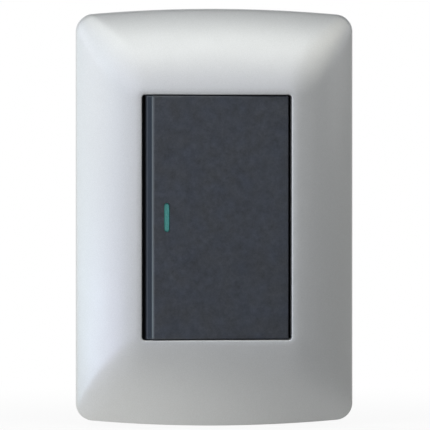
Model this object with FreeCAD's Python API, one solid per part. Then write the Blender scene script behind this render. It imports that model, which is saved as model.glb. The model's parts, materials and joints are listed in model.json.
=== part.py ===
"""Single-gang light switch with a three-module plate, as the separate pieces it is made of.

Millimetres. +X is right, +Z is up and the front faces -Y. The wall plane is y = 0.
The origin lies midway between the two wall box screws, on the wall plane.
The rocker is drawn level, and then turned about its pivot to the side it rests on.
"""
import FreeCAD, Part
import math
import os

V = FreeCAD.Vector
UP = V(0, 0, 1)
BACK = V(0, 1, 0)
RIGHT = V(1, 0, 0)

# Cover plate
plate_width = 80.0
plate_height = 120.2
plate_depth = 10.0
plate_skirt = 2.2
plate_wall = 1.8
plate_corner_radius = 5.0
plate_end_bow = 1.5
plate_rim_angle = 7.5
plate_soft_corner = 4.5
rim_land = 1.3
rim_round = 0.45
rim_corner_radius = 2.0
window_width = 43.2
module_pitch = 23.5
module_count = 3
window_corner_radius = 0.9
collar_depth = 6.0
collar_wall = 1.2
plate_rib_thickness = 1.2
plate_rib_gap = 5.0
plate_rib_x = 6.0
pry_notch_width = 9.0
pry_notch_depth = 1.2
pillow_steps = 6
straightest_bow = 0.02

# Snap legs of the plate and catches of the frame
catch_x = 15.0
catch_inset = 15.4
catch_width = 7.0
catch_wall = 1.4
catch_height = 3.6
catch_hook = 1.0
catch_hook_height = 1.2
catch_hook_rise = 1.6
catch_play = 0.2

# Mounting frame and wall box screws
box_screw_spacing = 83.3
box_thread_radius = 1.75
box_shank_radius = 1.45
box_screw_length = 25.0
box_head_radius = 3.3
box_head_height = 1.9
box_slot_length = 8.0
head_chamfer = 0.3
slot_play = 0.2
frame_side_width = 4.6
frame_end_inset = 9.1
frame_thickness = 2.2
frame_corner_radius = 5.0
frame_edge_height = 1.0
frame_edge_wall = 1.4
frame_back_round = 0.5
frame_pocket_depth = 0.8
frame_pocket_x = 6.8
frame_pocket_wall = 1.6
frame_pocket_round = 1.0

# Rocker tray
tray_wall = 0.9
tray_play = 0.1
tray_flange = 1.3
tray_flange_height = 1.4
tray_floor = 1.5
tray_back = 1.0
tray_rib_height = 1.2
tray_rib_thickness = 1.0
tray_rib_places = (0.72, 1.2)
tray_back_rib_height = 1.2
tray_back_rib_x = 13.0
tray_back_rib_gap = 1.3
tray_back_rib_inset = 2.5
tray_hook = 0.6
tray_hook_gap = 0.05
tray_hook_width = 6.0
tray_hook_x = 11.0
module_clip_wall = 1.2
module_clip_width = 8.0
module_clip_hook = 0.8
module_clip_hook_height = 1.2

# Rocker key and its pivot
key_side_gap = 0.95
key_end_gap = 0.25
key_face_recess = 0.4
key_wall = 1.6
key_side_wall = 1.2
key_side_depth = 6.0
key_strip_width = 1.7
key_step_run = 0.55
key_step_drop = 0.55
key_crest_round = 0.25
key_edge_round = 0.5
key_rib_thickness = 1.0
key_rib_height = 1.8
key_rib_places = (0.55, 1.0)
pivot_behind_face = 3.6
rest_angle = 3.5
lens_inset = 5.95
lens_width = 1.7
lens_height = 8.4
lens_recess = 0.5
lens_round = 0.3
lens_flange = 0.8
lens_flange_margin = 0.9
lens_guide_length = 0.7
lens_rib_gap = 0.65

# Inner rocker, spring and plunger
actuator_half_height = 7.9
actuator_plate = 2.2
trunnion_radius = 1.4
trunnion_length = 3.0
trunnion_play = 0.05
tube_radius = 3.0
tube_mouth = 10.0
bore_radius = 1.9
bore_bottom = 2.0
plunger_radius = 1.8
plunger_tip_radius = 1.4
plunger_shoulder = 7.8
plunger_taper = 1.4
plunger_spigot_radius = 0.9
plunger_spigot_length = 2.4
plunger_gap = 0.3
spring_wire = 0.45
spring_radius = 1.45
spring_turns = 4.5
key_clip_width = 8.0
key_clip_wall = 1.2
key_clip_hook = 0.7
key_clip_hook_height = 0.9
key_clip_rib_gap = 0.9

# Mechanism housing
module_height = 22.4
cover_ledge = 1.0
cover_thickness = 2.0
base_side_inset = 2.6
base_back = 24.0
base_wall = 1.4
base_corner_round = 1.0
base_back_round = 0.4
base_panel_half_width = 8.2
base_panel_half_height = 6.6
base_panel_depth = 0.4
screw_hole_bevel = 0.4
cover_corner_round = 0.8
base_floor = 1.6
partition_wall = 1.0
terminal_block = 4.0
cheek_gap = 0.5
cheek_thickness = 2.2
cheek_top = 0.9
cheek_top_half_width = 3.2
cheek_foot_half_width = 4.6
cover_slot_half_width = 4.6
cover_slot_half_height = 4.2
stop_gap = 0.15
stop_inset = 2.2
stop_width = 1.6
stop_half_height = 6.0
rivet_radius = 0.9
rivet_head_radius = 1.6
rivet_head_height = 0.5
rivet_inset = 2.0
rivet_post_radius = 1.9

# Contact system
blade_pivot_y = 9.6
blade_thickness = 1.2
blade_pivot_depth = 0.2
blade_half_width = 3.5
blade_end_gap = 0.7
blade_end_dip = 0.42
blade_corner_round = 1.15
blade_short_side = 1.1
blade_ratio = 2.0
nose_radius = 0.75
nose_play = 0.05
strip_thickness = 0.8
strip_half_width = 2.6
strip_passage_play = 0.1
strip_end_margin = 0.5
strip_bend_round = 0.7
contact_radius = 1.5
contact_height = 0.8
contact_dome = 6.0
contact_tail_radius = 0.8
contact_gap = 0.1
blade_guide_gap = 0.3
blade_guide_half_width = 2.0

# Terminals
bracket_front = 7.2
bracket_half_height = 5.2
wire_radius = 1.7
wire_funnel = 0.6
clamp_thickness = 0.8
clamp_to_leg = 0.5
clamp_half_height = 4.2
terminal_side_gap = 0.3
screw_y = 14.0
screw_radius = 1.5
screw_head_radius = 2.4
screw_head_play = 0.4
screw_slot_width = 0.8
screw_slot_depth = 0.9
screw_head_seat_gap = 0.1
common_strip_y = 15.2

# Locator lamp
lamp_radius = 1.9
lamp_glass = 0.35
lamp_length = 7.0
lamp_bottom = -3.4
lamp_above_floor = 0.8
lamp_pinch = 0.6
electrode_radius = 0.25
electrode_offset = 0.7
electrode_length = 4.2
holder_wall = 0.8
holder_length = 5.0
holder_above_pinch = 1.0
lead_radius = 0.25
lead_hole_play = 0.35
lead_bend = 0.7
lead_stub = 0.6
lead_z = -4.8
lead_across_z = -13.0
resistor_radius = 0.95
resistor_waist_radius = 0.8
resistor_above_floor = 0.3
resistor_length = 4.0
resistor_top = -6.4
resistor_cap = 0.8

# How near an edge lies to the plane or line that it is picked by
edge_match = 0.01

# Worked out from the sizes above
window_height = module_pitch * module_count
face_y = -plate_depth + key_face_recess
pivot_y = face_y + pivot_behind_face
key_back_y = face_y + key_wall
frame_front_y = -frame_thickness
tray_floor_y = tray_back - tray_floor
cover_back_y = tray_back + cover_thickness
blade_front_y = blade_pivot_y - blade_pivot_depth - blade_thickness
blade_back_y = blade_pivot_y - blade_pivot_depth
frame_width = window_width + 2 * frame_side_width
frame_height = plate_height - 2 * frame_end_inset
catch_z = plate_height / 2 - catch_inset
key_width = window_width - 2 * key_side_gap
key_half_height = window_height / 2 - key_end_gap
lens_x = lens_inset - key_width / 2
lens_flange_x = -lens_x - lens_width / 2 - lens_flange_margin
key_long_rib_x = lens_flange_x - lens_rib_gap - key_rib_thickness / 2
actuator_half_width = key_long_rib_x - key_rib_thickness / 2 - key_clip_rib_gap - key_clip_wall
stop_x = actuator_half_width - stop_inset
base_half_width = window_width / 2 - base_side_inset
cover_half_width = base_half_width + cover_ledge
tray_half_width = window_width / 2 + tray_wall
tray_half_height = window_height / 2 + tray_wall
outer_leg_x = base_half_width - base_wall - terminal_side_gap - strip_thickness
clamp_x = outer_leg_x - clamp_to_leg - clamp_thickness
wire_x = clamp_x - wire_radius
chamber_start = wire_x - wire_radius - strip_thickness
blade_right = chamber_start - partition_wall - blade_end_gap
blade_left = blade_right - blade_short_side
contact_x = blade_right - contact_radius
lamp_y = tray_floor_y - lamp_above_floor - lamp_radius


def box(x0, x1, y0, y1, z0, z1):
    """Block between two corners."""
    return Part.makeBox(x1 - x0, y1 - y0, z1 - z0, V(x0, y0, z0))


def cylinder(x, y, z, axis, radius, length):
    """Cylinder that starts at a point and runs along an axis."""
    return Part.makeCylinder(radius, length, V(x, y, z), axis)


def join(shapes):
    """One solid from several that touch or overlap."""
    return shapes[0].multiFuse(shapes[1:]).removeSplitter()


def both_sides(shape, normal):
    """A shape and its mirror image in a plane through the origin."""
    return [shape, shape.mirror(V(0, 0, 0), normal)]


def four_corners(shape):
    """A shape repeated left and right, and at the top and bottom."""
    return [s for half in both_sides(shape, RIGHT) for s in both_sides(half, UP)]


def profile_xy(points, z0, z1):
    """Outline in the XY plane, carried from z0 to z1."""
    corners = [V(x, y, z0) for x, y in points]
    face = Part.Face(Part.makePolygon(corners + corners[:1]))
    return face.extrude(UP * (z1 - z0))


def profile_yz(points, x0, x1):
    """Outline in the YZ plane, carried from x0 to x1."""
    corners = [V(x0, y, z) for y, z in points]
    face = Part.Face(Part.makePolygon(corners + corners[:1]))
    return face.extrude(RIGHT * (x1 - x0))


def turned(points):
    """Solid of revolution about the Y axis, from points given as (radius, y)."""
    corners = [V(r, y, 0) for r, y in points]
    face = Part.Face(Part.makePolygon(corners + corners[:1]))
    return face.revolve(V(0, 0, 0), BACK, 360)


def outline(half_width, half_height, radius, bow, y):
    """Upright sides, ends bowed outwards and tangent corners, in the plane at y."""
    side = half_width - radius
    bow_radius = side ** 2 / (2 * bow)
    bow_centre = half_height - bow_radius
    corner_z = bow_centre + math.sqrt((bow_radius - radius) ** 2 - side ** 2)
    turn = math.atan2(corner_z - bow_centre, side)

    def corner(angle, sx, sz):
        x = side + radius * math.cos(angle)
        z = corner_z + radius * math.sin(angle)
        return V(sx * x, y, sz * z)

    def quarter(first, last, sx, sz):
        return Part.Arc(corner(first, sx, sz), corner(turn / 2, sx, sz), corner(last, sx, sz))

    edges = [
        Part.LineSegment(corner(0, 1, -1), corner(0, 1, 1)),
        quarter(0, turn, 1, 1),
        Part.Arc(corner(turn, 1, 1), V(0, y, half_height), corner(turn, -1, 1)),
        quarter(turn, 0, -1, 1),
        Part.LineSegment(corner(0, -1, 1), corner(0, -1, -1)),
        quarter(0, turn, -1, -1),
        Part.Arc(corner(turn, -1, -1), V(0, y, -half_height), corner(turn, 1, -1)),
        quarter(turn, 0, 1, -1),
    ]
    return Part.Wire([edge.toShape() for edge in edges])


def rounded_block(half_width, half_height, radius, y0, y1):
    """Block with rounded upright corners, from y0 back to y1."""
    block = box(-half_width, half_width, y0, y1, -half_height, half_height)
    edges = [e for e in block.Edges if abs(e.tangentAt(e.FirstParameter).y) > 0.99]
    return block.makeFillet(radius, edges)


def pillow(inset, back):
    """Pillow form of the plate, shrunk by inset all round and at the front."""
    rise = plate_depth - plate_skirt
    rim_half_width = window_width / 2 + rim_land
    rim_half_height = window_height / 2 + rim_land
    run_x = plate_width / 2 - rim_half_width
    run_z = plate_height / 2 - rim_half_height
    rim = math.radians(plate_rim_angle)
    edge = 2 * math.atan2(rise, run_x) - rim

    def section(step):
        slope = edge + (rim - edge) * step / pillow_steps
        along = (math.sin(edge) - math.sin(slope)) / (math.sin(edge) - math.sin(rim))
        up = (math.cos(slope) - math.cos(edge)) / (math.cos(rim) - math.cos(edge))
        radius = plate_corner_radius * (1 - along) + rim_corner_radius * along
        radius += 4 * plate_soft_corner * along * (1 - along)
        bow = plate_end_bow * (1 - along) ** 2 + straightest_bow
        half_width = plate_width / 2 - run_x * along - inset
        half_height = plate_height / 2 - run_z * along - inset
        y = -plate_skirt - rise * up + inset
        return outline(half_width, half_height, radius, bow, y)

    sections = [section(step) for step in range(pillow_steps + 1)]
    crown = Part.makeLoft(sections, True, False)
    foot = Part.Face(sections[0]).extrude(BACK * (back + plate_skirt - inset))
    return crown.fuse(foot)


def snap_leg():
    """Leg on the plate, top right, whose hook enters the window of a catch on the frame."""
    inner_z = catch_z + catch_wall + catch_play
    x0 = catch_x - catch_width / 2
    hook_y = frame_front_y - catch_hook_rise
    root_y = -plate_depth + plate_wall / 2
    leg = box(x0, x0 + catch_width, root_y, frame_front_y - catch_play, inner_z, inner_z + catch_wall)
    hook = profile_yz(
        [
            (hook_y, inner_z),
            (hook_y - catch_hook_height, inner_z),
            (hook_y - catch_hook_height, inner_z - catch_hook),
        ],
        x0,
        x0 + catch_width,
    )
    return leg.fuse(hook)


def plate_ribs():
    """Stiffening ribs between the collar and the skirt."""
    half = plate_rib_thickness / 2
    x1 = plate_width / 2 - plate_wall / 2
    z1 = plate_height / 2 - plate_wall / 2
    y0 = -plate_depth + plate_wall / 2
    ribs = []
    for z in (-module_pitch, 0, module_pitch):
        side = box(window_width / 2 + collar_wall / 2, x1, y0, -plate_rib_gap, z - half, z + half)
        ribs += both_sides(side, RIGHT)
    for x in (-plate_rib_x, plate_rib_x):
        end = box(x - half, x + half, y0, -plate_rib_gap, window_height / 2 + collar_wall / 2, z1)
        ribs += both_sides(end, UP)
    return ribs


def cover_plate():
    """Hollow pillow plate with a collar round the window, ribs, snap legs and a pry notch."""
    half_width = window_width / 2
    half_height = window_height / 2
    hollow = pillow(plate_wall, plate_depth)
    collar = rounded_block(
        half_width + collar_wall,
        half_height + collar_wall,
        window_corner_radius + collar_wall,
        -plate_depth,
        -plate_depth + collar_depth,
    )
    shell = pillow(0, 0).cut(hollow.cut(collar))
    inside = pillow(plate_wall / 2, 0)
    braces = [rib.common(inside) for rib in plate_ribs() + four_corners(snap_leg())]
    shell = join([shell] + braces)
    window = rounded_block(half_width, half_height, window_corner_radius, -2 * plate_depth, 1)
    shell = shell.cut(window)
    notch = box(
        -pry_notch_width / 2,
        pry_notch_width / 2,
        -pry_notch_depth,
        0,
        -plate_height / 2,
        -plate_height / 2 + 2 * plate_wall,
    )
    shell = shell.cut(notch)
    rim = [
        e
        for e in shell.Edges
        if abs(e.BoundBox.YMin + plate_depth) < edge_match
        and abs(e.BoundBox.YMax + plate_depth) < edge_match
        and e.BoundBox.XMax < half_width + rim_land / 2
        and e.BoundBox.XMin > -half_width - rim_land / 2
        and e.BoundBox.ZMax < half_height + rim_land / 2
        and e.BoundBox.ZMin > -half_height - rim_land / 2
    ]
    return shell.makeFillet(rim_round, rim)


def frame_catch():
    """Upright wall with a window for one snap hook, top right."""
    x0 = catch_x - catch_width / 2 - catch_wall
    x1 = catch_x + catch_width / 2 + catch_wall
    top = frame_front_y - catch_height
    wall = box(x0, x1, top, frame_front_y, catch_z, catch_z + catch_wall)
    y1 = frame_front_y - catch_hook_rise + catch_play
    y0 = y1 - catch_hook_height - 2 * catch_play
    window = box(x0 + catch_wall - catch_play, x1 - catch_wall + catch_play, y0, y1, 0, 2 * catch_z)
    return wall.cut(window)


def frame_pocket():
    """Shallow pocket in the back of the frame, top right, beside the slot of the box screw."""
    x1 = frame_width / 2 - frame_edge_wall - frame_pocket_wall
    z0 = tray_half_height + tray_play + frame_pocket_wall
    z1 = frame_height / 2 - frame_edge_wall - frame_pocket_wall
    pocket = box(frame_pocket_x, x1, -frame_pocket_depth, 1, z0, z1)
    upright = [e for e in pocket.Edges if e.BoundBox.YLength > frame_pocket_depth]
    return pocket.makeFillet(frame_pocket_round, upright)


def mounting_frame():
    """Bridge with the tray's window, slots for the box screws, a raised edge and four catches."""
    half_width = frame_width / 2
    half_height = frame_height / 2
    top = frame_front_y - frame_edge_height
    body = rounded_block(half_width, half_height, frame_corner_radius, top, 0)
    recess = rounded_block(
        half_width - frame_edge_wall,
        half_height - frame_edge_wall,
        frame_corner_radius - frame_edge_wall,
        top - 1,
        frame_front_y,
    )
    body = join([body.cut(recess)] + four_corners(frame_catch()))
    back_edges = [e for e in body.Edges if e.BoundBox.YMin > -edge_match]
    body = body.makeFillet(frame_back_round, back_edges)
    for pocket in four_corners(frame_pocket()):
        body = body.cut(pocket)
    window = rounded_block(
        tray_half_width + tray_play, tray_half_height + tray_play, tray_wall, 2 * top, 1
    )
    slot_radius = box_thread_radius + slot_play
    reach = box_slot_length / 2 - slot_radius
    z = box_screw_spacing / 2
    slot = box(-reach, reach, 2 * top, 1, z - slot_radius, z + slot_radius)
    ends = [cylinder(x, 2 * top, z, BACK, slot_radius, 1 - 2 * top) for x in (-reach, reach)]
    slots = both_sides(join([slot] + ends), UP)
    return body.cut(window).cut(slots[0]).cut(slots[1])


def slotted_head(radius, height):
    """Pan head about the Y axis, with its flat seat at y = 0 and its slotted top towards -Y."""
    chamfer = height * head_chamfer
    head = turned(
        [(0, -height), (radius - chamfer, -height), (radius, chamfer - height), (radius, 0), (0, 0)]
    )
    half = screw_slot_width / 2
    return head.cut(box(-radius, radius, -height - 1, screw_slot_depth - height, -half, half))


def box_screws():
    """Two captive screws, relieved where they pass the frame."""
    z = box_screw_spacing / 2
    head = slotted_head(box_head_radius, box_head_height).translated(V(0, frame_front_y, z))
    shank = cylinder(0, frame_front_y, z, BACK, box_shank_radius, frame_thickness)
    thread = cylinder(0, 0, z, BACK, box_thread_radius, box_screw_length - frame_thickness)
    return Part.makeCompound(both_sides(join([head, shank, thread]), UP))


def tray_hook_wedge():
    """Wedge on the tray's top wall that snaps behind the frame."""
    z = tray_half_height
    points = [
        (tray_hook_gap, z - tray_wall),
        (tray_hook_gap, z + tray_hook),
        (tray_back, z),
        (tray_back, z - tray_wall),
    ]
    return profile_yz(points, tray_hook_x - tray_hook_width / 2, tray_hook_x + tray_hook_width / 2)


def module_clip():
    """Clip behind the tray's floor, right, that holds the mechanism by its ledge."""
    inner = cover_half_width + tray_play
    ledge = cover_back_y + tray_play / 2
    points = [
        (inner, tray_back),
        (inner + module_clip_wall, tray_back),
        (inner + module_clip_wall, ledge + module_clip_hook_height),
        (inner, ledge + module_clip_hook_height),
        (inner - module_clip_hook, ledge),
        (inner, ledge),
    ]
    return profile_xy(points, -module_clip_width / 2, module_clip_width / 2)


def lead_holes():
    """Two holes for the leads of the lamp, through the floor of the tray and the cover."""
    radius = lead_radius + lead_hole_play
    length = cover_back_y - tray_floor_y + 2
    return [cylinder(x, tray_floor_y - 1, lead_z, BACK, radius, length) for x in (-wire_x, wire_x)]


def tray_back_ribs():
    """Grid of ribs on the back of the tray's floor, above the mechanism."""
    half = tray_rib_thickness / 2
    y0 = tray_back - tray_floor / 2
    y1 = tray_back + tray_back_rib_height
    z0 = module_height / 2 + tray_back_rib_gap
    z1 = tray_half_height - tray_back_rib_inset
    side = tray_half_width - tray_back_rib_inset
    ribs = [box(x - half, x + half, y0, y1, z0, z1) for x in (-tray_back_rib_x, tray_back_rib_x)]
    for z in (z0 + half, (z0 + z1) / 2, z1 - half):
        ribs.append(box(-side, side, y0, y1, z - half, z + half))
    return join(ribs)


def rocker_tray():
    """Carrier that closes the window behind the key and holds the mechanism."""
    flange_front = frame_front_y - tray_flange_height
    flange = rounded_block(
        tray_half_width + tray_flange,
        tray_half_height + tray_flange,
        tray_wall,
        flange_front,
        frame_front_y,
    )
    body = rounded_block(tray_half_width, tray_half_height, tray_wall, flange_front, tray_back)
    cavity = box(
        -window_width / 2,
        window_width / 2,
        flange_front - 1,
        tray_floor_y,
        -window_height / 2,
        window_height / 2,
    )
    half = tray_rib_thickness / 2
    ribs = []
    reach = window_width / 2 + tray_wall / 2
    for place in tray_rib_places:
        z = place * module_pitch
        rib = box(-reach, reach, tray_floor_y - tray_rib_height, tray_floor_y, z - half, z + half)
        ribs += both_sides(rib, UP)
    shell = flange.fuse(body).cut(cavity)
    ribs += both_sides(tray_back_ribs(), UP)
    shell = join([shell] + ribs + four_corners(tray_hook_wedge()) + both_sides(module_clip(), RIGHT))
    hole_x = stop_x + stop_width
    hole_z = actuator_half_height + trunnion_length + cheek_gap
    middle = box(-hole_x, hole_x, tray_floor_y - 1, tray_back + 1, -hole_z, hole_z)
    for cut in [middle] + lead_holes():
        shell = shell.cut(cut)
    return shell


def at_rest(shape):
    """Turn a piece of the rocker about its pivot to the side it rests on."""
    moved = shape.copy()
    moved.rotate(V(0, pivot_y, 0), UP, rest_angle)
    return moved


def lens_block(margin, y0, y1):
    """Upright slot shape round the lens, with rounded ends."""
    radius = lens_width / 2 + margin
    reach = (lens_height - lens_width) / 2
    middle = box(lens_x - radius, lens_x + radius, y0, y1, -reach, reach)
    ends = [cylinder(lens_x, y0, z, BACK, radius, y1 - y0) for z in (-reach, reach)]
    return join([middle] + ends)


def key_section():
    """Key as a solid block: a flat face with a lower strip along its left edge."""
    half = key_width / 2
    foot = key_strip_width - half
    strip_y = face_y + key_step_drop
    rear = face_y + key_side_depth
    return profile_xy(
        [
            (half, face_y),
            (half, rear),
            (-half, rear),
            (-half, strip_y),
            (foot, strip_y),
            (foot + key_step_run, face_y),
        ],
        -key_half_height,
        key_half_height,
    )


def key_ribs():
    """Grid of ribs behind the key's face."""
    half = key_rib_thickness / 2
    y0 = key_back_y - key_wall / 2
    y1 = key_back_y + key_rib_height
    side = key_width / 2 - key_side_wall / 2
    end = key_half_height - key_side_wall / 2
    ribs = []
    for x in (-key_long_rib_x, key_long_rib_x):
        ribs.append(box(x - half, x + half, y0, y1, -end, end))
    for place in key_rib_places:
        z = place * module_pitch
        ribs += both_sides(box(-side, side, y0, y1, z - half, z + half), UP)
    return ribs


def key_clip():
    """Clip behind the key, right, that grips the edge of the inner rocker."""
    inner = actuator_half_width
    root = key_back_y - key_wall / 2
    ledge = key_back_y + actuator_plate
    tip = ledge + key_clip_hook_height
    points = [
        (inner, root),
        (inner + key_clip_wall, root),
        (inner + key_clip_wall, tip),
        (inner, tip),
        (inner - key_clip_hook, ledge),
        (inner, ledge),
    ]
    return profile_xy(points, -key_clip_width / 2, key_clip_width / 2)


def rocker_key():
    """Thin cap that covers the window, with its strip, ribs, two clips and the slot of the lens."""
    half = key_width / 2
    body = key_section()
    crest = [
        e
        for e in body.Edges
        if e.BoundBox.ZLength > key_half_height
        and e.BoundBox.YMax < face_y + edge_match
        and e.BoundBox.XMax < 0
    ]
    body = body.makeFillet(key_crest_round, crest)
    rounds = [
        e
        for e in body.Edges
        if e.BoundBox.YMax < face_y + key_step_drop + edge_match
        and (e.BoundBox.ZLength < edge_match or abs(e.BoundBox.Center.x) > half - edge_match)
    ]
    body = body.makeFillet(key_edge_round, rounds)
    hollow = box(
        -half + key_side_wall,
        half - key_side_wall,
        key_back_y,
        face_y + key_side_depth + 1,
        -key_half_height + key_side_wall,
        key_half_height - key_side_wall,
    )
    slot = lens_block(0, face_y - 1, key_back_y + 1)
    body = body.cut(hollow).cut(slot)
    body = join([body] + key_ribs() + both_sides(key_clip(), RIGHT))
    return at_rest(body)


def indicator_lens():
    """Lens with a flange behind the key's face and a short light guide."""
    front = lens_block(0, face_y + lens_recess, key_back_y)
    rim = [e for e in front.Edges if e.BoundBox.YMax < face_y + lens_recess + edge_match]
    front = front.makeFillet(lens_round, rim)
    flange = lens_block(lens_flange_margin, key_back_y, key_back_y + lens_flange)
    guide = lens_block(0, key_back_y + lens_flange, key_back_y + lens_flange + lens_guide_length)
    return at_rest(join([front, flange, guide]))


def rocker_actuator():
    """Inner rocker with its trunnions and the tube that guides the plunger."""
    plate_back = key_back_y + actuator_plate
    top = actuator_half_height
    plate = box(-actuator_half_width, actuator_half_width, key_back_y, plate_back, -top, top)
    hub = cylinder(0, pivot_y, -top, UP, tube_radius, 2 * top)
    hub = hub.cut(box(-tube_radius, tube_radius, key_back_y - tube_radius, key_back_y, -top, top))
    axle = cylinder(0, pivot_y, -top - trunnion_length, UP, trunnion_radius, 2 * (top + trunnion_length))
    tube = cylinder(0, pivot_y, 0, BACK, tube_radius, tube_mouth)
    body = join([plate, hub, axle, tube])
    bore = cylinder(0, pivot_y + bore_bottom, 0, BACK, bore_radius, tube_mouth)
    return at_rest(body.cut(bore))


def tip_reach():
    """Distance from the rocker's pivot to the centre of the plunger's tip, at rest.

    The tip clears the blade, tilted the other way, by the plunger's gap.
    """
    lean = math.radians(rest_angle)
    tilt = math.radians(rest_angle * blade_ratio)
    span = (blade_pivot_y - pivot_y) * math.cos(tilt)
    need = blade_pivot_y - blade_front_y + plunger_tip_radius + plunger_gap
    return (span - need) / math.cos(lean + tilt)


def spring_plunger():
    """Stepped pin with a round nose that rides on the contact blade."""
    shoulder = plunger_shoulder
    centre = tip_reach()
    pin = turned(
        [
            (0, shoulder - plunger_spigot_length),
            (plunger_spigot_radius, shoulder - plunger_spigot_length),
            (plunger_spigot_radius, shoulder),
            (plunger_radius, shoulder),
            (plunger_radius, centre - plunger_taper),
            (plunger_tip_radius, centre),
            (0, centre),
        ]
    )
    nose = Part.makeSphere(plunger_tip_radius, V(0, centre, 0))
    return at_rest(pin.fuse(nose).translated(V(0, pivot_y, 0)))


def plunger_spring():
    """Helical compression spring between the bottom of the bore and the plunger's shoulder."""
    start = pivot_y + bore_bottom + spring_wire / 2
    length = plunger_shoulder - bore_bottom - spring_wire
    pitch = length / spring_turns
    steps = int(round(spring_turns * 2))
    arcs = []

    def point(turn):
        angle = 2 * math.pi * turn
        return V(spring_radius * math.cos(angle), start + pitch * turn, spring_radius * math.sin(angle))

    for step in range(steps):
        first, middle, last = (point((step + part) * spring_turns / steps) for part in (0, 0.5, 1))
        arcs.append(Part.Arc(first, middle, last).toShape())
    path = Part.Wire(arcs)
    heading = point(0.01) - point(0)
    ring = Part.Wire(Part.makeCircle(spring_wire / 2, point(0), heading))
    coil = path.makePipeShell([ring], True, False)
    print("spring: gap between its turns %.2f mm" % (pitch - spring_wire))
    return at_rest(coil)


def cheek():
    """Bearing cheek above the hub of the inner rocker, open at the front for the trunnion."""
    z0 = actuator_half_height + cheek_gap
    top = pivot_y - cheek_top
    points = [
        (-cheek_foot_half_width, tray_back),
        (-cheek_top_half_width, top),
        (cheek_top_half_width, top),
        (cheek_foot_half_width, tray_back),
    ]
    bearing = cylinder(0, pivot_y, z0, UP, trunnion_radius + trunnion_play, cheek_thickness)
    return profile_xy(points, z0, z0 + cheek_thickness).cut(bearing)


def rivet_place():
    """Centre of the top right rivet, as x and z."""
    return base_half_width - rivet_inset, module_height / 2 - rivet_inset


def mechanism_cover():
    """Front half of the mechanism, with the bearing cheeks, end stops and terminal pads."""
    half_height = module_height / 2
    plate = rounded_block(cover_half_width, half_height, cover_corner_round, tray_back, cover_back_y)
    slot = box(
        -cover_slot_half_width,
        cover_slot_half_width,
        tray_back - 1,
        cover_back_y + 1,
        -cover_slot_half_height,
        cover_slot_half_height,
    )
    lean = math.radians(rest_angle)
    reach = key_back_y + actuator_plate - pivot_y
    stop_y = pivot_y + reach * math.cos(lean) + (stop_x - stop_width / 2) * math.sin(lean)
    stop = box(
        stop_x - stop_width / 2,
        stop_x + stop_width / 2,
        stop_y + stop_gap + stop_width * math.sin(lean),
        tray_back,
        -stop_half_height,
        stop_half_height,
    )
    pad = box(wire_x - wire_radius, outer_leg_x, cover_back_y, bracket_front, -1, 1)
    parts = [plate.cut(slot)] + both_sides(cheek(), UP)
    body = join(parts + both_sides(stop, RIGHT) + both_sides(pad, RIGHT))
    x, z = rivet_place()
    hole = cylinder(x, tray_back - 1, z, BACK, rivet_radius, cover_thickness + 2)
    sink = cylinder(x, tray_back - 1, z, BACK, rivet_head_radius, 1 + rivet_head_height)
    for cut in four_corners(hole.fuse(sink)) + lead_holes():
        body = body.cut(cut)
    return body


def terminal_chamber():
    """Space for one terminal, right, with its wire entry and screw hole."""
    half_height = module_height / 2 - base_wall
    room = box(
        chamber_start,
        base_half_width - base_wall,
        cover_back_y - 1,
        base_back - terminal_block,
        -half_height,
        half_height,
    )
    entry = cylinder(wire_x, base_back - terminal_block - 1, 0, BACK, wire_radius, terminal_block + 2)
    funnel = Part.makeCone(
        wire_radius, wire_radius + wire_funnel, wire_funnel, V(wire_x, base_back - wire_funnel, 0), BACK
    )
    hole_radius = screw_head_radius + screw_head_play
    screw = cylinder(outer_leg_x, screw_y, 0, RIGHT, hole_radius, base_half_width)
    bevel = Part.makeCone(
        hole_radius,
        hole_radius + screw_hole_bevel,
        screw_hole_bevel,
        V(base_half_width - screw_hole_bevel, screw_y, 0),
        RIGHT,
    )
    return join([room, entry, funnel, screw, bevel])


def mechanism_base():
    """Rear half of the mechanism: the contact space, two terminal chambers and the rivet posts."""
    half_height = module_height / 2
    inner_height = half_height - base_wall
    inner = chamber_start - partition_wall
    back = base_back - base_floor
    body = rounded_block(base_half_width, half_height, base_corner_round, cover_back_y, base_back)
    back_edges = [e for e in body.Edges if e.BoundBox.YMin > base_back - edge_match]
    body = body.makeFillet(base_back_round, back_edges)
    panel = rounded_block(
        base_panel_half_width,
        base_panel_half_height,
        base_corner_round,
        base_back - base_panel_depth,
        base_back + 1,
    )
    body = body.cut(panel).cut(box(-inner, inner, cover_back_y - 1, back, -inner_height, inner_height))
    for chamber in both_sides(terminal_chamber(), RIGHT):
        body = body.cut(chamber)
    common_seat = box(
        -inner, strip_half_width, common_strip_y + strip_thickness, back, -strip_half_width, strip_half_width
    )
    seat_y = fixed_contact_y() + contact_height + strip_thickness
    switched_seat = box(contact_x - contact_radius, inner, seat_y, back, -strip_half_width, strip_half_width)
    tail = cylinder(contact_x, seat_y - 1, 0, BACK, contact_radius, 1 + 2 * contact_height)
    guide = box(
        -blade_guide_half_width,
        blade_guide_half_width,
        blade_front_y - 1,
        back,
        blade_half_width + blade_guide_gap,
        inner_height,
    )
    x, z = rivet_place()
    post = cylinder(x, cover_back_y, z, BACK, rivet_post_radius, base_back - cover_back_y)
    post = post.common(box(0, base_half_width, 0, base_back, 0, half_height))
    body = join(
        [body, common_seat, switched_seat.cut(tail)] + both_sides(guide, UP) + four_corners(post)
    )
    hole = cylinder(x, cover_back_y - 1, z, BACK, rivet_radius, base_back)
    for cut in four_corners(hole) + strip_passages():
        body = body.cut(cut)
    return body


def strip_passages():
    """Slots in the partitions where the two terminal strips pass."""
    play = strip_passage_play
    half = strip_half_width + play
    outer = chamber_start + play
    inner = chamber_start - partition_wall - play
    y0 = common_strip_y
    left = box(-outer, -inner, y0 - play, y0 + strip_thickness, -half, half)
    y0 = fixed_contact_y() + contact_height
    right = box(inner, outer, y0 - play, y0 + strip_thickness, -half, half)
    return [left, right]


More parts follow.
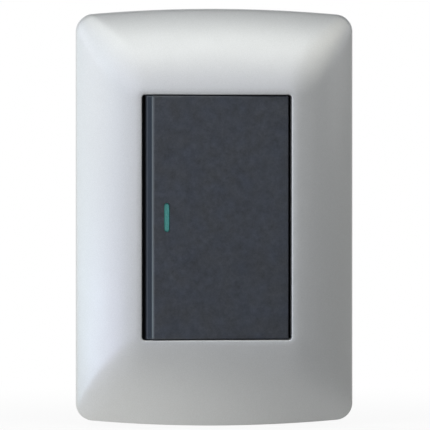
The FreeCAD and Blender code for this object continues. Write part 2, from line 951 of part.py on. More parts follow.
def housing_rivets():
    """Four rivets, with a head in the cover and a formed head behind the base."""
    x, z = rivet_place()
    head = cylinder(x, tray_back, z, BACK, rivet_head_radius, rivet_head_height)
    shank = cylinder(x, tray_back, z, BACK, rivet_radius, base_back - tray_back)
    formed = Part.makeCone(
        rivet_head_radius, rivet_radius, rivet_head_height, V(x, base_back, z), BACK
    )
    return Part.makeCompound(four_corners(join([head, shank, formed])))


def tilted(shape):
    """Turn a piece of the contact lever about its pivot to where it rests."""
    moved = shape.copy()
    moved.rotate(V(0, blade_pivot_y, 0), UP, -rest_angle * blade_ratio)
    return moved


def contact_blade():
    """Seesaw strip with a groove that rocks on the nose of the common terminal."""
    points = [
        (-blade_left, blade_front_y - blade_end_dip),
        (-blade_left / 2, blade_front_y),
        (blade_right / 2, blade_front_y),
        (blade_right, blade_front_y),
        (blade_right, blade_back_y),
        (-blade_left / 2, blade_back_y),
        (-blade_left, blade_back_y - blade_end_dip),
    ]
    strip = profile_xy(points, -blade_half_width, blade_half_width)
    ends = [
        e for e in strip.Edges if e.BoundBox.XLength < edge_match and e.BoundBox.ZLength < edge_match
    ]
    strip = strip.makeFillet(blade_corner_round, ends)
    groove = cylinder(0, blade_pivot_y, -blade_half_width, UP, nose_radius + nose_play, 2 * blade_half_width)
    hole = cylinder(contact_x, blade_front_y - 1, 0, BACK, contact_tail_radius, blade_thickness + 2)
    return tilted(strip.cut(groove).cut(hole))


def domed_contact(height):
    """Contact rivet about the Y axis: its tail towards -Y, its domed face ending at y = height."""
    rim = height - contact_dome + math.sqrt(contact_dome ** 2 - contact_radius ** 2)
    disc = turned([(0, 0), (contact_radius, 0), (contact_radius, height), (0, height)])
    ball = Part.makeSphere(contact_dome, V(0, height - contact_dome, 0))
    tail = cylinder(0, -blade_thickness, 0, BACK, contact_tail_radius, blade_thickness + rim / 2)
    return disc.common(ball).fuse(tail)


def moving_contact():
    """Contact rivet at the right end of the blade."""
    rivet = domed_contact(contact_height).translated(V(contact_x, blade_back_y, 0))
    return tilted(rivet.removeSplitter())


def fixed_contact_y():
    """Front face of the fixed contact, a small gap behind the moving one when that is closed."""
    tilt = math.radians(rest_angle * blade_ratio)
    centre = blade_back_y + contact_height - contact_dome - blade_pivot_y
    deepest = contact_x * math.sin(tilt) + centre * math.cos(tilt) + contact_dome
    return blade_pivot_y + deepest + contact_gap


def fixed_contact():
    """Contact rivet in the strip of the switched terminal."""
    y = fixed_contact_y()
    head = cylinder(contact_x, y, 0, BACK, contact_radius, contact_height)
    tail = cylinder(contact_x, y, 0, BACK, contact_tail_radius, contact_height + strip_thickness)
    return join([head, tail])


def terminal_bracket():
    """Bent bracket round the wire space, right, with the hole for the clamping screw."""
    half = bracket_half_height
    inner = chamber_start
    outer = outer_leg_x + strip_thickness
    back = base_back - terminal_block
    whole = box(inner, outer, bracket_front, back, -half, half)
    room = box(
        inner + strip_thickness, outer - strip_thickness, bracket_front + strip_thickness, back + 1, -half, half
    )
    hole = cylinder(outer_leg_x - 1, screw_y, 0, RIGHT, screw_radius, 2 + strip_thickness)
    bracket = whole.cut(room)
    bends = [
        e
        for e in bracket.Edges
        if e.BoundBox.ZLength > half
        and e.BoundBox.XLength < edge_match
        and e.BoundBox.YMax < bracket_front + edge_match
    ]
    return bracket.makeFillet(strip_bend_round, bends).cut(hole)


def common_terminal():
    """Left bracket with a strip to the middle, bent up to the nose that carries the blade."""
    bracket = terminal_bracket().mirror(V(0, 0, 0), RIGHT)
    half = strip_half_width
    back = common_strip_y + strip_thickness
    strip = box(-chamber_start - strip_thickness, strip_thickness / 2, common_strip_y, back, -half, half)
    riser = box(-strip_thickness / 2, strip_thickness / 2, blade_pivot_y, back, -half, half)
    nose = cylinder(0, blade_pivot_y, -half, UP, nose_radius, 2 * half)
    return join([bracket, strip, riser, nose])


def switched_terminal():
    """Right bracket with a strip under the fixed contact."""
    y = fixed_contact_y() + contact_height
    half = strip_half_width
    strip = box(
        contact_x - contact_radius - strip_end_margin,
        chamber_start + strip_thickness,
        y,
        y + strip_thickness,
        -half,
        half,
    )
    hole = cylinder(contact_x, y - 1, 0, BACK, contact_tail_radius, strip_thickness + 2)
    return join([terminal_bracket(), strip]).cut(hole)


def terminal_clamps():
    """Two saddles that the screws press on the wires."""
    half = clamp_half_height
    back = base_back - terminal_block
    front = bracket_front + 2 * strip_thickness
    saddle = box(clamp_x, clamp_x + clamp_thickness, front, back - strip_thickness, -half, half)
    rim = [e for e in saddle.Edges if e.BoundBox.XLength > clamp_thickness / 2]
    saddle = saddle.makeFillet(clamp_thickness / 2, rim)
    return Part.makeCompound(both_sides(saddle, RIGHT))


def terminal_screws():
    """Two slotted screws, reached from the sides of the mechanism."""
    head_height = base_half_width - outer_leg_x - strip_thickness - screw_head_seat_gap
    head = slotted_head(screw_head_radius, head_height)
    head.rotate(V(0, 0, 0), UP, 90)
    seat = base_half_width - head_height
    head = head.translated(V(seat, screw_y, 0))
    tip = clamp_x + clamp_thickness
    shank = cylinder(tip, screw_y, 0, RIGHT, screw_radius, seat - tip)
    return Part.makeCompound(both_sides(join([head, shank]), RIGHT))


def lamp_holder():
    """Cradle on the floor of the tray that holds the lamp behind the lens."""
    half = lamp_radius + holder_wall
    z0 = lamp_bottom + holder_above_pinch
    block = box(lens_x - half, lens_x + half, lamp_y, tray_floor_y, z0, z0 + holder_length)
    seat = cylinder(lens_x, lamp_y, z0 - 1, UP, lamp_radius, holder_length + 2)
    return block.cut(seat)


def neon_lamp():
    """Glass bulb, closed by a pinch at the bottom and a round tip at the top."""

    def bulb(radius, z0, z1):
        column = cylinder(lens_x, lamp_y, z0, UP, radius, z1 - radius - z0)
        return column.fuse(Part.makeSphere(radius, V(lens_x, lamp_y, z1 - radius)))

    top = lamp_bottom + lamp_length
    glass = bulb(lamp_radius, lamp_bottom, top)
    room = bulb(lamp_radius - lamp_glass, lamp_bottom + lamp_pinch, top - lamp_glass)
    return glass.cut(room).removeSplitter()


def lamp_electrodes():
    """Two rods that stand on the pinch of the bulb."""
    z0 = lamp_bottom + lamp_pinch
    rods = [
        cylinder(lens_x + side * electrode_offset, lamp_y, z0, UP, electrode_radius, electrode_length)
        for side in (-1, 1)
    ]
    return Part.makeCompound(rods)


def bent_wire(points):
    """Round wire along straight runs, with a round bend at each corner."""
    pieces = []
    start = points[0]
    for before, corner, after in zip(points, points[1:], points[2:]):
        heading = (corner - before).normalize()
        leaving = (after - corner).normalize()
        turn = heading.getAngle(leaving)
        trim = lead_bend * math.tan(turn / 2)
        bend_start = corner - heading * trim
        normal = heading.cross(leaving).normalize()
        centre = bend_start + normal.cross(heading) * lead_bend
        ring = Part.Face(Part.Wire(Part.makeCircle(lead_radius, bend_start, heading)))
        run = (bend_start - start).Length
        pieces.append(Part.makeCylinder(lead_radius, run, start, heading))
        pieces.append(ring.revolve(centre, normal, math.degrees(turn)))
        start = corner + leaving * trim
    rest = points[-1] - start
    pieces.append(Part.makeCylinder(lead_radius, rest.Length, start, rest))
    return join(pieces)


def resistor_place():
    """Axis of the resistor, as x and y: beside the lamp, just above the tray's floor."""
    return lens_x + electrode_offset, tray_floor_y - resistor_radius - resistor_above_floor


def lamp_leads():
    """Wires from the lamp to the two terminals, one of them by way of the resistor."""
    left = lens_x - electrode_offset
    x, y = resistor_place()
    bottom = resistor_top - resistor_length
    down = (lamp_bottom + resistor_top) / 2
    direct = [
        V(left, lamp_y, lamp_bottom),
        V(left, lamp_y, lamp_bottom - lead_stub),
        V(-wire_x, lamp_y, lead_z),
        V(-wire_x, bracket_front, lead_z),
    ]
    short = [
        V(x, lamp_y, lamp_bottom),
        V(x, lamp_y, down + lead_bend),
        V(x, y, down - lead_bend),
        V(x, y, resistor_top),
    ]
    across = [
        V(x, y, bottom),
        V(x, y, lead_across_z),
        V(wire_x, y, lead_across_z),
        V(wire_x, y, lead_z),
        V(wire_x, bracket_front, lead_z),
    ]
    return Part.makeCompound([bent_wire(path) for path in (direct, short, across)])


def lamp_resistor():
    """Resistor body, thicker at both ends."""
    x, y = resistor_place()
    z0 = resistor_top - resistor_length
    parts = [cylinder(x, y, z0, UP, resistor_waist_radius, resistor_length)]
    for z in (z0, resistor_top - resistor_cap):
        parts.append(cylinder(x, y, z, UP, resistor_radius, resistor_cap))
    return join(parts)


PIECES = [
    cover_plate,
    mounting_frame,
    box_screws,
    rocker_tray,
    rocker_key,
    indicator_lens,
    rocker_actuator,
    plunger_spring,
    spring_plunger,
    mechanism_cover,
    mechanism_base,
    housing_rivets,
    contact_blade,
    moving_contact,
    fixed_contact,
    common_terminal,
    switched_terminal,
    terminal_clamps,
    terminal_screws,
    lamp_holder,
    neon_lamp,
    lamp_electrodes,
    lamp_leads,
    lamp_resistor,
]

os.makedirs("parts", exist_ok=True)
for piece in PIECES:
    solid = piece()
    solid.exportStep("parts/" + piece.__name__ + ".step")
    volume = sum(s.Volume for s in solid.Solids)
    print("%-18s solids %d  volume %9.2f  valid %s" % (
        piece.__name__, len(solid.Solids), volume, solid.isValid()))
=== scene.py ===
"""Single-gang light switch: a rocker key and lens in a silver pillow-shaped wall plate.

+X is right, +Z is up and the front faces -Y. The wall plane is y = 0.
Sizes of the switch are in millimetres here, and MM turns them into Blender's metres.
The plate, the box screws and the spring are modelled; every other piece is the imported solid, dressed.
"""
import bpy
import bmesh
import json
import math
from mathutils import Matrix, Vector


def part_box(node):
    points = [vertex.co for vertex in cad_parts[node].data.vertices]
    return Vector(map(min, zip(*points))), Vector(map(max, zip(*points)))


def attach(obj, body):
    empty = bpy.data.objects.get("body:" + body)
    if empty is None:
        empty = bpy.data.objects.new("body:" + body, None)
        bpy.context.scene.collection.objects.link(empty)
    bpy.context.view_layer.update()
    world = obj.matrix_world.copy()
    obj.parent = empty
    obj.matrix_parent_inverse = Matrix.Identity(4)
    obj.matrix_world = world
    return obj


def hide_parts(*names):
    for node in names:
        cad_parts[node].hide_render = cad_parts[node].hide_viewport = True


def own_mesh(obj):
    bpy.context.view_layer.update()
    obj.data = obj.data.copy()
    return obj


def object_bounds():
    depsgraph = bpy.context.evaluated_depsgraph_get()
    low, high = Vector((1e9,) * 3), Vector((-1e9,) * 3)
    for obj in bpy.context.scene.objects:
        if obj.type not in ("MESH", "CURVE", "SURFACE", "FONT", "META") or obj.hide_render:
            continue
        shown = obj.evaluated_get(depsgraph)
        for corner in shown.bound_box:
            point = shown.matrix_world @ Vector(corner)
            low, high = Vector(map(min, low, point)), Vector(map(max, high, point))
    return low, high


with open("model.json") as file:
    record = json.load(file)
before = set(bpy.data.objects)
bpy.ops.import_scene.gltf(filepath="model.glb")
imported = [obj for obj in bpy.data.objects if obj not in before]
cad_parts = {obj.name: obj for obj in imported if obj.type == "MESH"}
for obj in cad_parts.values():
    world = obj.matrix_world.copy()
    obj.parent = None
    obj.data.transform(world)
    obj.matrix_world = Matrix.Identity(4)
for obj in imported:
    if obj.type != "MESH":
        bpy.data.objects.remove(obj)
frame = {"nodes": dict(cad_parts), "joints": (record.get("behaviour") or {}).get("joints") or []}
cad_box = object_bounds()
nodes = frame["nodes"]
MM = 0.001

# Cover plate, whose outer size comes from the frame
plate_low, plate_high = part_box("cover_plate")
plate_half_width = plate_high[0] / MM
plate_half_height = plate_high[2] / MM
plate_depth = -plate_low[1] / MM
plate_skirt = 2.2
plate_wall = 1.8
plate_corner_radius = 5.0
plate_soft_corner = 4.5
plate_end_bow = 1.5
straightest_bow = 0.02
plate_rim_angle = 5.5
plate_shoulder = 0.45
plate_foot_round = 0.25
plate_foot_land = 1.2
plate_sharp_angle = 35
rim_land = 1.3
rim_round = 0.32
rim_corner_radius = 2.0
window_half_width = 21.6
window_half_height = 35.25
window_corner_radius = 0.9
window_bow = 0.001
collar_depth = 6.0
collar_wall = 1.2
collar_end_y = collar_depth - plate_depth
collar_chamfer_width = 0.15
collar_chamfer_height = 0.2

# Pry notch in the plate's lower edge
notch_half_width = 4.5
notch_depth = 1.2
notch_fade = 0.2
notch_reach = 2.0

# How finely the plate is divided, and where its rows of points lie
side_steps = 30
corner_steps = 14
end_steps = 26
corner_end_share = 0.914
foot_middle_share = 0.3
foot_inside_y = -0.05
skirt_rows_y = (-0.8, -1.3)
shoulder_steps = 5
pillow_start = 0.04
pillow_rings = 34
rim_steps = 6
collar_rows_y = (-8.5, -7.0, -5.5)
collar_outside_row_y = -6.0
hollow_edge = 0.25
hollow_start = 0.78
hollow_rings = 14

# Ribs behind the plate
module_pitch = 23.5
plate_rib_half = 0.6
plate_rib_gap = 5.0
plate_rib_x = 6.0
rib_curve_steps = 11
rib_curve_gap = 0.2
depth_samples = 40

# Snap legs of the plate, which hook into the catches of the frame
frame_thickness = 2.2
catch_x = 15.0
catch_inset = 15.4
catch_half_width = 3.5
catch_wall = 1.4
catch_hook = 1.0
catch_hook_height = 1.2
catch_hook_rise = 1.6
catch_play = 0.2
leg_inner_z = plate_half_height - catch_inset + catch_wall + catch_play
leg_end_y = -frame_thickness - catch_play
leg_hook_y = -frame_thickness - catch_hook_rise

# Key: how far its rougher outer edge in painted shade and its low strip reach from the left,
# and the crest of the step beside it, which has a painted highlight
key_edge_reach = 0.6
key_strip_reach = 1.95
key_crest_reach = 2.35
key_left_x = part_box("rocker_key")[0][0] / MM
key_edge_x = key_left_x + key_edge_reach
key_step_x = key_left_x + key_strip_reach
key_crest_x = key_left_x + key_crest_reach

# Box screws, whose length and place come from the frame
screw_low, screw_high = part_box("box_screws")
screw_head_radius = 3.3
screw_head_height = 1.9
screw_head_chamfer = 0.1
screw_head_profile = ((0, 0.55), (0.04, 0.72), (0.16, 0.87), (0.42, 0.96), (0.85, 1.0))
screw_slot_width = 0.8
screw_slot_depth = 0.9
slot_block_length = 3 * screw_head_radius
slot_block_above = 1
screw_shank_radius = 1.45
screw_core_radius = 0.4
screw_thread_radius = 1.75
screw_thread_start = 0.2
screw_thread_depth = 0.36
screw_thread_crest = 0.1
screw_thread_flank = 0.75
screw_pitch = 0.6
screw_tip_chamfer = 0.5
screw_sides = 32
screw_rows_per_turn = 8
screw_sharp_angle = 32
screw_z = screw_high[2] / MM - screw_head_radius
screw_tip_y = screw_high[1] / MM

# Spring between the bottom of the inner rocker's bore and the plunger's shoulder
spring_wire = 0.45
spring_radius = 1.45
spring_turns = 4.5
spring_steps_per_turn = 28
spring_sides = 12
spring_sharp_angle = 40
bore_bottom = 2.0
plunger_shoulder = 7.8


def end_stations():
    """Where the rings have points on their bowed ends, as shares from the corner in to the middle."""
    outer_x = plate_half_width - plate_corner_radius * corner_end_share
    edges = [(notch_half_width + side * notch_fade) / outer_x for side in (-1, 1)]
    return sorted([k / end_steps for k in range(end_steps + 1)] + edges, reverse=True)


end_shares = end_stations()


def finished_mesh(bm, name, *materials):
    """Mesh from a bmesh, with its faces turned outwards and its materials on it."""
    bmesh.ops.recalc_face_normals(bm, faces=bm.faces)
    mesh = bpy.data.meshes.new(name)
    bm.to_mesh(mesh)
    bm.free()
    for each in materials:
        mesh.materials.append(each)
    return mesh


def soften(mesh, sharp_angle):
    """Shade a mesh smooth, apart from edges sharper than an angle in degrees."""
    mesh.shade_smooth()
    mesh.set_sharp_from_angle(angle=math.radians(sharp_angle))


def new_piece(name, mesh, body, node):
    """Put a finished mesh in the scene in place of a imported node."""
    piece = bpy.data.objects.new(name, mesh)
    bpy.context.scene.collection.objects.link(piece)
    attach(piece, body)
    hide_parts(node)
    return piece


def quadrant(half_width, half_height, radius, bow):
    """Points from the middle of the right side, round the corner, to the middle of the top."""
    side = half_width - radius
    bow_radius = side ** 2 / (2 * bow)
    bow_centre = half_height - bow_radius
    corner_z = bow_centre + math.sqrt((bow_radius - radius) ** 2 - side ** 2)
    turn = math.atan2(corner_z - bow_centre, side)
    end_x = side + radius * math.cos(turn)
    points = [(half_width, corner_z * k / side_steps) for k in range(side_steps)]
    for k in range(corner_steps):
        angle = turn * k / corner_steps
        points.append((side + radius * math.cos(angle), corner_z + radius * math.sin(angle)))
    for share in end_shares:
        x = end_x * share
        points.append((x, bow_centre + math.sqrt(bow_radius ** 2 - x ** 2)))
    return points


def ring(half_width, half_height, radius, bow, y):
    """Closed ring of points in the plane at y, with the notch drawn into its lower middle."""
    q = quadrant(half_width, half_height, radius, bow)
    flat = q + [(-x, z) for x, z in reversed(q[:-1])]
    flat += [(-x, -z) for x, z in q[1:]] + [(x, -z) for x, z in reversed(q[1:-1])]
    points = []
    for x, z in flat:
        fade = (notch_half_width + notch_fade - abs(x)) / (2 * notch_fade)
        share = min(max(fade, 0), 1) * max(1 + y / notch_reach, 0) if z < 0 else 0
        points.append(Vector((x, y - notch_depth * share, z)) * MM)
    return points


def outer_ring(inset, y):
    """Ring of the plate's own outline, drawn in by inset."""
    radius = plate_corner_radius - inset
    return ring(plate_half_width - inset, plate_half_height - inset, radius, plate_end_bow, y)


def window_ring(margin, y):
    """Ring round the window, a margin away from its edge."""
    radius = window_corner_radius + margin
    return ring(window_half_width + margin, window_half_height + margin, radius, window_bow, y)


def pillow_shape(share, inset):
    """Outline and depth of the pillow, from its skirt at 0 to its rim at 1."""
    rise = plate_depth - plate_skirt
    run_x = plate_half_width - window_half_width - rim_land
    run_z = plate_half_height - window_half_height - rim_land
    rim = math.radians(plate_rim_angle)
    edge = 2 * math.atan2(rise, run_x) - rim
    slope = edge + (rim - edge) * share
    along = (math.sin(edge) - math.sin(slope)) / (math.sin(edge) - math.sin(rim))
    up = (math.cos(slope) - math.cos(edge)) / (math.cos(rim) - math.cos(edge))
    radius = plate_corner_radius * (1 - along) + rim_corner_radius * along
    radius += 4 * plate_soft_corner * along * (1 - along)
    bow = plate_end_bow * (1 - along) ** 2 + straightest_bow
    half_width = plate_half_width - run_x * along - inset
    half_height = plate_half_height - run_z * along - inset
    return half_width, half_height, radius, bow, -plate_skirt - rise * up + inset


def shoulder_rings(last):
    """Soft turn from the skirt into the pillow, up to the ring given."""
    first = outer_ring(0, plate_shoulder - plate_skirt)
    corner = outer_ring(0, -plate_skirt)
    rings = [first]
    for k in range(1, shoulder_steps):
        t = k / shoulder_steps
        weights = ((1 - t) ** 2, 2 * t * (1 - t), t ** 2)
        rings.append([
            a * weights[0] + b * weights[1] + c * weights[2] for a, b, c in zip(first, corner, last)
        ])
    return rings


def front_rings():
    """Rings of the plate's front, from its foot over the pillow and rim to the back end of the window."""
    foot = plate_foot_round
    middle = foot * foot_middle_share
    rings = [outer_ring(foot, 0), outer_ring(middle, -middle), outer_ring(0, -foot)]
    rings += [outer_ring(0, y) for y in skirt_rows_y]
    pillow = []
    for k in range(pillow_rings):
        share = pillow_start + (1 - pillow_start) * k / (pillow_rings - 1)
        pillow.append(ring(*pillow_shape(share, 0)))
    rings += shoulder_rings(pillow[0]) + pillow
    for k in range(rim_steps + 1):
        angle = math.pi / 2 * k / rim_steps
        margin = rim_round * (1 - math.sin(angle))
        rings.append(window_ring(margin, -plate_depth + rim_round * (1 - math.cos(angle))))
    rings += [window_ring(0, y) for y in (*collar_rows_y, collar_end_y - collar_chamfer_height)]
    rings.append(window_ring(collar_chamfer_width, collar_end_y))
    return rings


def back_rings():
    """Rings of the plate's back, from the collar's end up its outside, over the hollow and to the foot."""
    rings = [
        window_ring(collar_wall - collar_chamfer_width, collar_end_y),
        window_ring(collar_wall, collar_end_y - collar_chamfer_height),
        window_ring(collar_wall, collar_outside_row_y),
        window_ring(collar_wall, plate_wall - plate_depth + hollow_edge),
    ]
    for k in range(hollow_rings):
        rings.append(ring(*pillow_shape(hollow_start * (1 - k / (hollow_rings - 1)), plate_wall)))
    rings += [outer_ring(plate_wall, -plate_foot_round), outer_ring(plate_wall, foot_inside_y)]
    return rings + [outer_ring(plate_foot_land, 0)]


def add_rings(bm, rings, front_count):
    """Skin a closed run of rings; the first rings get the first material and the rest the second."""
    rows = [[bm.verts.new(p) for p in points] for points in rings]
    count = len(rows[0])
    for i, row in enumerate(rows):
        after = rows[(i + 1) % len(rows)]
        for k in range(count):
            face = bm.faces.new((row[k], row[(k + 1) % count], after[(k + 1) % count], after[k]))
            face.material_index = 0 if i < front_count else 1


def add_prism(bm, outline, direction, near, far):
    """Closed prism in the second material: outline points in the two axes across the direction."""
    def place(point, depth):
        if direction == "x":
            return Vector((depth, point[0], point[1])) * MM
        return Vector((point[0], point[1], depth)) * MM

    first = [bm.verts.new(place(p, near)) for p in outline]
    last = [bm.verts.new(place(p, far)) for p in outline]
    faces = [bm.faces.new(first), bm.faces.new(list(reversed(last)))]
    for k in range(len(outline)):
        n = (k + 1) % len(outline)
        faces.append(bm.faces.new((first[n], first[k], last[k], last[n])))
    for face in faces:
        face.material_index = 1


def rib_outline(axis):
    """Stiffening rib between the collar and the pillow, from the middle of the wall's thickness."""
    start = (window_half_width if axis == "x" else window_half_height) + collar_wall / 2
    curve = []
    for k in range(rib_curve_steps + 1):
        shape = pillow_shape(k / rib_curve_steps, plate_wall / 2)
        across = shape[0] if axis == "x" else shape[1]
        if shape[4] < -plate_rib_gap and across > start + rib_curve_gap:
            curve.append((across, shape[4]))
    return curve + [(start, plate_wall / 2 - plate_depth), (start, -plate_rib_gap)]


def depth_at_height(z):
    """Where the middle of the plate's wall lies, at a height above the window."""
    shapes = [pillow_shape(k / depth_samples, plate_wall / 2) for k in range(depth_samples + 1)]
    return next(shape[4] for shape in shapes if shape[1] <= z) + plate_wall / 4


def add_ribs(bm):
    """Stiffening ribs on the back of the plate."""
    side = rib_outline("x")
    for z in (-module_pitch, 0, module_pitch):
        for sign in (-1, 1):
            outline = [(sign * x, y) for x, y in side]
            add_prism(bm, outline, "z", z - plate_rib_half, z + plate_rib_half)
    end = rib_outline("z")
    for x in (-plate_rib_x, plate_rib_x):
        for sign in (-1, 1):
            outline = [(y, sign * z) for z, y in end]
            add_prism(bm, outline, "x", x - plate_rib_half, x + plate_rib_half)


def add_snap_legs(bm):
    """Four snap legs on the back of the plate, each with a hook towards the middle."""
    inner_z = leg_inner_z
    outer_z = inner_z + catch_wall
    root = depth_at_height(outer_z)
    leg = [
        (root, outer_z),
        (leg_end_y, outer_z),
        (leg_end_y, inner_z),
        (leg_hook_y, inner_z),
        (leg_hook_y - catch_hook_height, inner_z - catch_hook),
        (leg_hook_y - catch_hook_height, inner_z),
        (root, inner_z),
    ]
    for x in (-catch_x, catch_x):
        for sign in (-1, 1):
            outline = [(y, sign * z) for y, z in leg]
            add_prism(bm, outline, "x", x - catch_half_width, x + catch_half_width)


def build_plate(silver, bare):
    """The whole cover plate as one mesh: silver in front and bare plastic behind."""
    front = front_rings()
    bm = bmesh.new()
    add_rings(bm, front + back_rings(), len(front))
    add_ribs(bm)
    add_snap_legs(bm)
    mesh = finished_mesh(bm, "plate_shell", silver, bare)
    soften(mesh, plate_sharp_angle)
    new_piece("plate_shell", mesh, "root", "cover_plate")


def screw_radius(y):
    """Radius of the box screw at a depth, with how deep its thread is cut there."""
    if y < screw_thread_start:
        return screw_shank_radius, 0
    tip = screw_thread_radius - max(0, y - (screw_tip_y - screw_tip_chamfer))
    return tip, screw_thread_depth * min(1, (y - screw_thread_start) / screw_pitch)


def screw_rows():
    """Depth, radius and depth of thread along the box screw, from the top of its pan head to its tip."""
    head_back = -frame_thickness
    top = head_back - screw_head_height
    rows = [(top + depth, share * screw_head_radius, 0) for depth, share in screw_head_profile]
    rows.append((head_back - screw_head_chamfer, screw_head_radius, 0))
    rows.append((head_back, screw_head_radius - screw_head_chamfer, 0))
    rows.append((head_back, screw_shank_radius, 0))
    steps = int((screw_tip_y - head_back) / screw_pitch * screw_rows_per_turn)
    for k in range(1, steps + 1):
        y = head_back + (screw_tip_y - head_back) * k / steps
        rows.append((y, *screw_radius(y)))
    return rows


def add_screw(bm, z):
    """Box screw about a line along Y: pan head, relieved shank and a real helical thread."""
    rings = []
    for y, radius, depth in screw_rows():
        points = []
        for k in range(screw_sides):
            phase = (y / screw_pitch + k / screw_sides) % 1
            flank = (abs(2 * phase - 1) - screw_thread_crest) / screw_thread_flank
            r = max(radius - min(max(flank, 0), 1) * depth, screw_core_radius)
            angle = 2 * math.pi * k / screw_sides
            points.append(bm.verts.new(Vector((r * math.cos(angle), y, z + r * math.sin(angle))) * MM))
        rings.append(points)
    for near, far in zip(rings, rings[1:]):
        for k in range(screw_sides):
            n = (k + 1) % screw_sides
            bm.faces.new((near[k], near[n], far[n], far[k]))
    bm.faces.new(rings[0])
    bm.faces.new(list(reversed(rings[-1])))


def slot_cutter():
    """Blocks, longer than the heads are wide, that cut the driver slots into the box screws."""
    bm = bmesh.new()
    top = -frame_thickness - screw_head_height
    for sign in (-1, 1):
        for v in bmesh.ops.create_cube(bm, size=1)["verts"]:
            v.co.x *= slot_block_length * MM
            v.co.y = (top + screw_slot_depth if v.co.y > 0 else top - slot_block_above) * MM
            v.co.z = (v.co.z * screw_slot_width + sign * screw_z) * MM
    mesh = bpy.data.meshes.new("slot_cutter")
    bm.to_mesh(mesh)
    bm.free()
    cutter = bpy.data.objects.new("slot_cutter", mesh)
    bpy.context.scene.collection.objects.link(cutter)
    return cutter


def cut_away(piece, cutter):
    """Cut one mesh by another, for good, and delete the cutter."""
    cut = piece.modifiers.new("cut", "BOOLEAN")
    cut.operation = "DIFFERENCE"
    cut.object = cutter
    cut.solver = "EXACT"
    bpy.context.view_layer.update()
    made = bpy.data.meshes.new_from_object(piece.evaluated_get(bpy.context.evaluated_depsgraph_get()))
    piece.modifiers.clear()
    piece.data = made
    bpy.data.objects.remove(cutter)


def build_screws(zinc):
    """The two captive screws that hold the frame to the wall box."""
    bm = bmesh.new()
    for sign in (-1, 1):
        add_screw(bm, sign * screw_z)
    mesh = finished_mesh(bm, "threaded_screws", zinc)
    piece = new_piece("threaded_screws", mesh, "root", "box_screws")
    cut_away(piece, slot_cutter())
    piece.data.name = "threaded_screws"
    soften(piece.data, screw_sharp_angle)


def joint_named(name):
    """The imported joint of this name."""
    return next(joint for joint in frame["joints"] if joint["name"] == name)


def build_spring(steel):
    """Wound spring behind the inner rocker, from the bottom of its bore to the plunger's shoulder."""
    slide = joint_named("plunger_slide")
    along = -Vector(slide["axis"]).normalized()
    up = Vector((0, 0, 1))
    side = along.cross(up)
    pivot = Vector(joint_named("rocker_turn")["pos_m"])
    length = plunger_shoulder - bore_bottom
    pitch = (length - spring_wire) / spring_turns
    count = round(spring_turns * spring_steps_per_turn)
    bm = bmesh.new()
    rings = []
    for k in range(count + 1):
        turn = k / spring_steps_per_turn
        angle = 2 * math.pi * turn
        out = side * math.cos(angle) + up * math.sin(angle)
        heading = up * math.cos(angle) - side * math.sin(angle)
        heading = (heading + along * pitch / (2 * math.pi * spring_radius)).normalized()
        depth = bore_bottom + spring_wire / 2 + pitch * turn
        centre = along * depth + out * spring_radius
        across = heading.cross(out)
        points = []
        for n in range(spring_sides):
            phase = 2 * math.pi * n / spring_sides
            offset = out * math.cos(phase) + across * math.sin(phase)
            points.append(bm.verts.new(pivot + (centre + offset * spring_wire / 2) * MM))
        rings.append(points)
    for near, far in zip(rings, rings[1:]):
        for n in range(spring_sides):
            after = (n + 1) % spring_sides
            bm.faces.new((near[n], near[after], far[after], far[n]))
    bm.faces.new(rings[0])
    bm.faces.new(rings[-1])
    mesh = finished_mesh(bm, "wound_spring", steel)
    soften(mesh, spring_sharp_angle)
    piece = new_piece("wound_spring", mesh, "rocker", "plunger_spring")
    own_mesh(piece)


# Sockets of a Mix node in its colour mode
COLOUR_A = 6
COLOUR_B = 7
COLOUR_RESULT = 2

# Range that most of a noise lies in, and how much a grained finish varies in gloss
NOISE_RANGE = (0.3, 0.7)
GLOSS_SPREAD = 0.2

# Soft clouds under a grain: their size in grains, and their share
CLOUD_SIZE = 12
CLOUD_SHARE = 0.45


def material(name):
    """New node material; returns it with its tree and its shader."""
    made = bpy.data.materials.new(name)
    made.use_nodes = True
    return made, made.node_tree, made.node_tree.nodes["Principled BSDF"]


def link(tree, source, output, target, socket):
    """Join an output to an input."""
    tree.links.new(source.outputs[output], target.inputs[socket])


def link_colour(tree, mixed, target, socket):
    """Join the colour of a Mix node to an input."""
    tree.links.new(mixed.outputs[COLOUR_RESULT], target.inputs[socket])


def noise(tree, size, detail=2.0, stretch=(1, 1, 1)):
    """Noise in the object's own space, with features about size millimetres across."""
    place = tree.nodes.new("ShaderNodeTexCoord")
    scaled = tree.nodes.new("ShaderNodeMapping")
    scaled.inputs["Scale"].default_value = stretch
    made = tree.nodes.new("ShaderNodeTexNoise")
    made.inputs["Scale"].default_value = 1 / (size * MM)
    made.inputs["Detail"].default_value = detail
    link(tree, place, "Object", scaled, "Vector")
    link(tree, scaled, "Vector", made, "Vector")
    return made


def spread(tree, source, output, low, high, within=NOISE_RANGE):
    """Turn a number that lies within a range into low..high."""
    made = tree.nodes.new("ShaderNodeMapRange")
    made.inputs["From Min"].default_value = within[0]
    made.inputs["From Max"].default_value = within[1]
    made.inputs["To Min"].default_value = low
    made.inputs["To Max"].default_value = high
    link(tree, source, output, made, "Value")
    return made


def mixed_colour(tree, blend, share, first, second):
    """Colour node that goes from the first to the second, each a colour or a colour node."""
    made = tree.nodes.new("ShaderNodeMix")
    made.data_type = "RGBA"
    made.blend_type = blend
    link(tree, share, "Result", made, "Factor")
    for colour, socket in ((first, COLOUR_A), (second, COLOUR_B)):
        if isinstance(colour, tuple):
            made.inputs[socket].default_value = (*colour, 1)
        else:
            link_colour(tree, colour, made, socket)
    return made


def bump(tree, shader, source, height):
    """Relief of a noise, height millimetres deep."""
    made = tree.nodes.new("ShaderNodeBump")
    made.inputs["Distance"].default_value = height * MM
    link(tree, source, "Fac", made, "Height")
    link(tree, made, "Normal", shader, "Normal")


